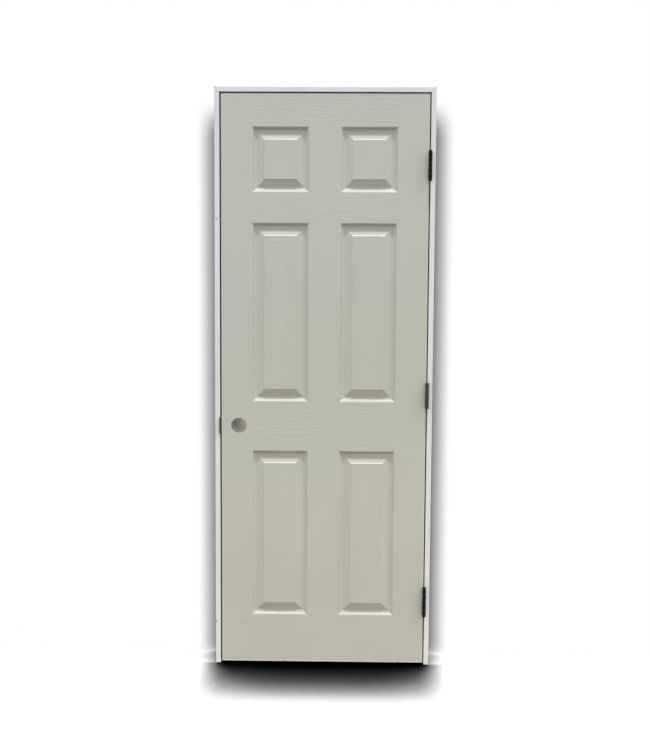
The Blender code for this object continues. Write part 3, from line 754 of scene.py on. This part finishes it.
core = {
    "pine": (196, 164, 120),
    "latewood": (160, 118, 74),
    "rings": 900.0,                    # how close they lie, radians per metre
    "ringFade": (0.2, 1.0, 0.0, 0.45),
    "swirl": ((30.0, 60.0, 3.0), 2.0),
    "swirlBy": 0.03,
    "paleFibre": (214, 190, 150),
    "fibre": ((500.0, 500.0, 20.0), 3.0, 0.6),
    "fibreFade": (0.45, 0.7, 0.0, 0.35),
    "fibreHeight": 0.00008,
    "fibreStrength": 0.8,
    "oversprayShade": (140, 138, 126),      # paint that drifted into the bore, darkened by painted shade
    "oversprayShare": (0.95, 0.80),    # from the block's middle to its back
    "wrap": (0.004, 0.007, 0.0, 0.75),   # how far the faces' paint wraps onto the edges
    "wrapStreak": ((60.0, 220.0, 4.0), 3.0),
    "wrapStreakBy": 0.004,
    "thinPaint": (150, 128, 100),      # and what it thins out to
    "edgePaintDepth": 0.0009,          # how deep the paint on the slab's edges counts
    "lockBevel": 0.0018,               # how far in the bevelled lock edge reaches
    "roughness": (0.5, 0.85),          # painted, bare
    "gloss": 0.3,
}


def paintedPine():
    material, tree, shader = startMaterial("pineWithPaintedEdges", gloss=core["gloss"])
    low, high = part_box("front_skin")
    where, axis = place(tree)
    y = axis[1]
    swirl = addShare(tree, pattern(tree, where, *core["swirl"]), core["swirlBy"], y)
    rings = calc(tree, "SINE", times(tree, swirl, core["rings"]))
    wood = coat(tree, core["pine"], core["latewood"], ramp(tree, rings, *core["ringFade"]))
    fibre = pattern(tree, where, *core["fibre"])
    wood = coat(tree, wood, core["paleFibre"], ramp(tree, fibre, *core["fibreFade"]))
    # the bore's wall was dusted with paint from the front, in a tone darkened by painted shade
    boreLow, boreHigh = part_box("lock_block")
    middle = (boreLow.y + boreHigh.y) / 2
    dusted = ramp(tree, y, middle, boreHigh.y, *core["oversprayShare"])
    wood = coat(tree, wood, core["oversprayShade"], dusted)

    paintDepth = core["edgePaintDepth"]
    lockEdge = low + Vector((core["lockBevel"], 0.0, 0.0))
    depth = fromEdges(tree, axis, lockEdge, high)
    bare = ramp(tree, depth, paintDepth * softFrom, paintDepth)
    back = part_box("back_skin")[1].y
    inwards = least(tree, [minus(tree, y, low.y), minus(tree, back, y)])
    streak = pattern(tree, where, *core["wrapStreak"])
    inwards = addShare(tree, streak, core["wrapStreakBy"], inwards)
    thin = ramp(tree, inwards, *core["wrap"])
    paint = coat(tree, slabPaint["middle"], core["thinPaint"], thin)
    colour = shadeAndDirtInGaps(tree, tint(tree, paint, wood, bare))
    roughness = ramp(tree, bare, 0.0, 1.0, *core["roughness"])
    layers = [(times(tree, fibre, core["fibreHeight"]), core["fibreStrength"])]
    finishMaterial(tree, shader, colour, roughness, layers)
    return material


dress(["hinge_stile", "lock_stile", "top_rail", "bottom_rail", "lock_block"], paintedPine())
print("slab core finished")


jambs = {
    # the paint's tone changes with height, partly as painted light: bluer and paler at the top,
    # warmer low down
    "paintTop": (219, 227, 233),
    "paintLow": (214, 216, 213),
    "paintFade": (-0.95, 0.55),        # the heights between which they change
    "paintShade": (206, 211, 215),     # soft clouding
    "cloud": ((9.0, 9.0, 4.0), 4.0, 0.6),
    "shadeFade": (0.40, 0.75, 0.0, 0.5),
    "brushPale": (228, 230, 231),      # brush lines, up the side jambs and along the head
    "brushUp": ((260.0, 260.0, 3.0), 3.0, 0.6),
    "brushAlong": ((3.0, 260.0, 260.0), 3.0, 0.6),
    "brushTurn": 0.001,                # how softly one turns into the other
    "brushFade": (0.5, 0.75, 0.0, 0.35),
    "brushRelief": (0.00005, 0.7),     # height and strength
    "scuff": (198, 199, 194),
    "scuffs": ((70.0, 70.0, 38.0), 2.0, 0.7, (5.0, 1.0, 2.0)),
    "scuffFade": (0.66, 0.74, 0.0, 0.6),
    "dents": ((40.0, 40.0, 16.0), 2.0),
    "dentRelief": (0.0002, 0.5),
    "edgeHighlight": (226, 230, 228),      # a painted highlight along the edges beside the slab, where their eased corners catch the light
    "edgeLine": 0.0035,                # width of that line
    "edgeShare": 0.5,
    "topShade": (128, 127, 122),        # painted shade on what faces up, against the strong light from above
    "topShadeFade": (0.5, 0.9, 0.0, 0.8),
    "frontFade": (0.0015, 0.0030, 1.0, 0.0),   # how deep the nicks go
    # small nicks and smudges on the front: x, z, radius, colour, share
    "nicks": [
        (-0.7448, 0.5710, 0.0028, (236, 240, 242), 0.85),
        (-0.7474, 0.5612, 0.0056, (176, 181, 186), 0.75),
        (-0.7548, -0.8557, 0.0042, (92, 96, 96), 0.90),
        (-0.7540, 1.0012, 0.0036, (150, 156, 162), 0.90),
    ],
    "roughness": (0.3, 0.7, 0.33, 0.45),
    "gloss": 0.4,
}


def primedJamb():
    material, tree, shader = startMaterial("whiteJambPaint", gloss=jambs["gloss"])
    where, axis = place(tree)
    x, y, z = axis
    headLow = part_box("head_jamb")[0].z
    strikeLow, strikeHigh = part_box("strike_jamb")
    turn = jambs["brushTurn"]
    sideways = ramp(tree, z, headLow - turn, headLow + turn)
    brushUp = pattern(tree, where, *jambs["brushUp"])
    brushAlong = pattern(tree, where, *jambs["brushAlong"])
    brush = blendValues(tree, brushUp, brushAlong, sideways)
    cloud = pattern(tree, where, *jambs["cloud"])
    scuffs = pattern(tree, where, *jambs["scuffs"])

    upper = ramp(tree, z, *jambs["paintFade"])
    colour = coat(tree, jambs["paintLow"], jambs["paintTop"], upper)
    colour = coat(tree, colour, jambs["paintShade"], ramp(tree, cloud, *jambs["shadeFade"]))
    colour = coat(tree, colour, jambs["brushPale"], ramp(tree, brush, *jambs["brushFade"]))
    colour = coat(tree, colour, jambs["scuff"], ramp(tree, scuffs, *jambs["scuffFade"]))
    inner = least(tree, [
        apart(tree, x, strikeHigh.x),
        apart(tree, x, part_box("hinge_jamb")[0].x),
        apart(tree, z, headLow),
    ])
    # painted highlight along the jambs' inner edges
    edge = jambs["edgeLine"]
    line = ramp(tree, inner, edge * softFrom, edge, jambs["edgeShare"], 0.0)
    colour = coat(tree, colour, jambs["edgeHighlight"], line)
    start, end, *levels = jambs["frontFade"]
    front = ramp(tree, y, strikeLow.y + start, strikeLow.y + end, *levels)
    colour = addMarks(tree, colour, axis, jambs["nicks"], front)
    # painted shade on what faces up
    upwards = ramp(tree, facing(tree)[2], *jambs["topShadeFade"])
    colour = shadeAndDirtInGaps(tree, coat(tree, colour, jambs["topShade"], upwards))
    dents = pattern(tree, where, *jambs["dents"])
    brushHeight, brushStrength = jambs["brushRelief"]
    dentHeight, dentStrength = jambs["dentRelief"]
    layers = [
        (times(tree, brush, brushHeight), brushStrength),
        (times(tree, dents, dentHeight), dentStrength),
    ]
    finishMaterial(tree, shader, colour, ramp(tree, cloud, *jambs["roughness"]), layers)
    return material


dress(
    ["strike_jamb", "hinge_jamb", "head_jamb", "strike_stop", "hinge_stop", "head_stop"],
    primedJamb(),
)
print("jambs painted")


hinges = {
    # for each finish: its colour, where it is worn, how metallic, its gloss and how much
    # the lines where the knuckles meet are rubbed, which also paints the highlight they catch
    "black": ((12, 12, 13), (70, 70, 72), 0.0, 0.05, 0.8),
    "bronze": ((52, 50, 42), (104, 101, 90), 0.35, 0.3, 0.3),
    "height": 0.0889,
    "knuckles": 5,
    "rubbedGlintLine": (0.05, 0.11),        # half its width, as a share of a knuckle
    "rub": ((120.0, 120.0, 40.0), 4.0, 0.65, (2.0, 3.0, 1.0)),
    "rubFade": (0.52, 0.8, 0.0, 0.20),
    "mottle": ((260.0, 260.0, 260.0), 3.0, 0.6),
    "mottleHeight": 0.00004,
    "mottleStrength": 0.6,
    "roughness": (0.3, 0.7, 0.40, 0.56),
}


def hingeMetal(name, finish, centreZ):
    paint, worn, metallic, gloss, rubbed = hinges[finish]
    material, tree, shader = startMaterial(name, metallic, gloss)
    where, axis = place(tree)
    pitch = hinges["height"] / hinges["knuckles"]
    foot = minus(tree, axis[2], centreZ - hinges["height"] / 2)
    local = calc(tree, "DIVIDE", foot, pitch)
    near = apart(tree, local, calc(tree, "ROUND", local))
    rub = pattern(tree, where, *hinges["rub"])
    colour = coat(tree, paint, worn, ramp(tree, rub, *hinges["rubFade"]))
    # the lines where the knuckles meet: rubbed metal and a painted highlight
    colour = coat(tree, colour, worn, ramp(tree, near, *hinges["rubbedGlintLine"], rubbed, 0.0))
    mottle = pattern(tree, where, *hinges["mottle"])
    layers = [(times(tree, mottle, hinges["mottleHeight"]), hinges["mottleStrength"])]
    finishMaterial(tree, shader, colour, ramp(tree, mottle, *hinges["roughness"]), layers)
    return material


def hingeCentre(name):
    low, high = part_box(name + "_hinge_door_leaf")
    return (low.z + high.z) / 2


hingeMaterials = {
    "top": hingeMetal("topBlackHinge", "black", hingeCentre("top")),
    "bottom": hingeMetal("bottomBlackHinge", "black", hingeCentre("bottom")),
    "middle": hingeMetal("middleBronzeHinge", "bronze", hingeCentre("middle")),
}
for name, material in hingeMaterials.items():
    dress([name + "_hinge_" + part for part in ("jamb_leaf", "door_leaf", "pin")], material)
print("hinges finished")


strike = {
    "steel": (147, 147, 141),
    "tarnish": (134, 132, 122),
    "tarnished": ((140.0, 140.0, 140.0), 4.0, 0.65),   # where it is
    "tarnishFade": (0.4, 0.7, 0.0, 0.6),
    "brushed": ((60.0, 60.0, 1400.0), 2.0, 0.6),
    "brushedHeight": 0.00002,
    "brushedStrength": 0.6,
    "roughness": (0.3, 0.7, 0.34, 0.50),
    "metallic": 0.6,
}


def strikeSteel():
    material, tree, shader = startMaterial("satinStrikeSteel", strike["metallic"])
    where = place(tree)[0]
    dull = ramp(tree, pattern(tree, where, *strike["tarnished"]), *strike["tarnishFade"])
    colour = coat(tree, strike["steel"], strike["tarnish"], dull)
    brushed = pattern(tree, where, *strike["brushed"])
    layers = [(times(tree, brushed, strike["brushedHeight"]), strike["brushedStrength"])]
    finishMaterial(tree, shader, colour, ramp(tree, brushed, *strike["roughness"]), layers)
    return material


strikeMaterial = strikeSteel()
dress(["strike_plate"], strikeMaterial)
print("strike plate finished")


screws = {
    "headRadius": 0.0041,
    "proud": 0.0004,          # how far a head stands out of its leaf
    "sunk": 0.00005,          # and how far its foot is sunk in it
    "chamfer": 0.0003,
    "armLength": 0.0021,
    "armWidth": 0.0009,
    "armTaper": (0.86, 0.6),  # the sunk cross at its floor: length and width, shares
    "crossFloor": 0.00006,    # how far that floor lies above the leaf
    "facets": 40,
    "firstTurn": 0.35,        # how a leaf's first cross stands, radians
    "nextTurn": 1.1,          # and how much further each next one is turned
    "hingeUp": 0.0290,        # the outer screws, above and below the hinge's middle
    "hingeNear": 0.0110,      # from the slab's face: the outer screws
    "hingeFar": 0.0200,       # and the middle one
    "strikeUp": 0.0206,
    # near-black painted shade in the sunk crosses, with some dust
    "recessShade": (12, 12, 13),
    "recessDust": (58, 54, 48),
    "recessRoughness": 0.7,
    "dust": ((900.0, 900.0, 900.0), 2.0),
    "dustFade": (0.5, 0.8, 0.0, 0.6),
}


def screwHead(bm, centre, outward, turn):
    # outward is +1 or -1 along x. The head is a low disc with a cross sunk in it
    radius, proud, chamfer = screws["headRadius"], screws["proud"], screws["chamfer"]
    arm, half = screws["armLength"], screws["armWidth"] / 2
    shorter, thinner = screws["armTaper"]

    def point(across, up, out):
        a = math.cos(turn) * across - math.sin(turn) * up
        b = math.sin(turn) * across + math.cos(turn) * up
        return bm.verts.new((centre[0] + outward * out, centre[1] + a, centre[2] + b))

    def ring(size, out):
        count = screws["facets"]
        angles = [2 * math.pi * i / count for i in range(count)]
        return [point(size * math.cos(a), size * math.sin(a), out) for a in angles]

    def cross(size, wide, out):
        # one arm's three corners, turned by quarters
        corners = []
        for quarter in range(4):
            angle = quarter * math.pi / 2
            c, s = round(math.cos(angle)), round(math.sin(angle))
            for a, b in ((size, -wide), (size, wide), (wide, wide)):
                corners.append((c * a - s * b, s * a + c * b))
        return [point(a, b, out) for a, b in corners]

    def join(first, second, slot=0):
        count = len(first)
        for i in range(count):
            j = (i + 1) % count
            face = bm.faces.new((first[i], first[j], second[j], second[i]))
            face.material_index = slot

    def loopEdges(loop):
        pairs = zip(loop, loop[1:] + loop[:1])
        return [bm.edges.get(pair) or bm.edges.new(pair) for pair in pairs]

    foot = ring(radius, -screws["sunk"])
    side = ring(radius, proud - chamfer)
    rim = ring(radius - chamfer, proud)
    mouth = cross(arm, half, proud)
    base = cross(arm * shorter, half * thinner, screws["crossFloor"])
    join(foot, side)
    join(side, rim)
    join(mouth, base, 1)
    bm.faces.new(base).material_index = 1
    bmesh.ops.triangle_fill(bm, use_beauty=True, edges=loopEdges(rim) + loopEdges(mouth))


def recessMaterial():
    # the sunk cross: painted shade with some dust
    material, tree, shader = startMaterial("screwRecess")
    dust = pattern(tree, place(tree)[0], *screws["dust"])
    share = ramp(tree, dust, *screws["dustFade"])
    colour = coat(tree, screws["recessShade"], screws["recessDust"], share)
    finishMaterial(tree, shader, colour, screws["recessRoughness"])
    return material


def setScrews(name, centres, outward, body, materials):
    bm = bmesh.new()
    for index, centre in enumerate(centres):
        turn = screws["firstTurn"] + screws["nextTurn"] * index
        screwHead(bm, centre, outward, turn)
    bmesh.ops.recalc_face_normals(bm, faces=bm.faces)
    mesh = bpy.data.meshes.new(name)
    bm.to_mesh(mesh)
    bm.free()
    for material in materials:
        mesh.materials.append(material)
    piece = bpy.data.objects.new(name, mesh)
    bpy.context.scene.collection.objects.link(piece)
    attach(piece, body)


def fitScrews():
    recessShade = recessMaterial()
    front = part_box("front_skin")[0].y
    # each leaf's face, the way that its screws look out of it and its body
    leaves = {
        "_jamb_leaf_screws": (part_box("hinge_jamb")[0].x, -1, "frame"),
        "_door_leaf_screws": (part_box("hinge_stile")[1].x, 1, "door"),
    }
    for name in ("top", "middle", "bottom"):
        z = hingeCentre(name)
        near, far, up = (screws[key] for key in ("hingeNear", "hingeFar", "hingeUp"))
        holes = [(front + near, z + up), (front + far, z), (front + near, z - up)]
        for leaf, (face, outward, body) in leaves.items():
            centres = [(face, *hole) for hole in holes]
            materials = (hingeMaterials[name], recessShade)
            setScrews(name + leaf, centres, outward, body, materials)
    low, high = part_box("strike_plate")
    middle = (low.z + high.z) / 2
    latchY = (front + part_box("back_skin")[1].y) / 2
    centres = [(high.x, latchY, middle + side * screws["strikeUp"]) for side in (1, -1)]
    setScrews("strike_screws", centres, 1, "frame", (strikeMaterial, recessShade))


fitScrews()
print("screws fitted")


def plain(bounds):
    return [[float(value) for value in corner] for corner in bounds]
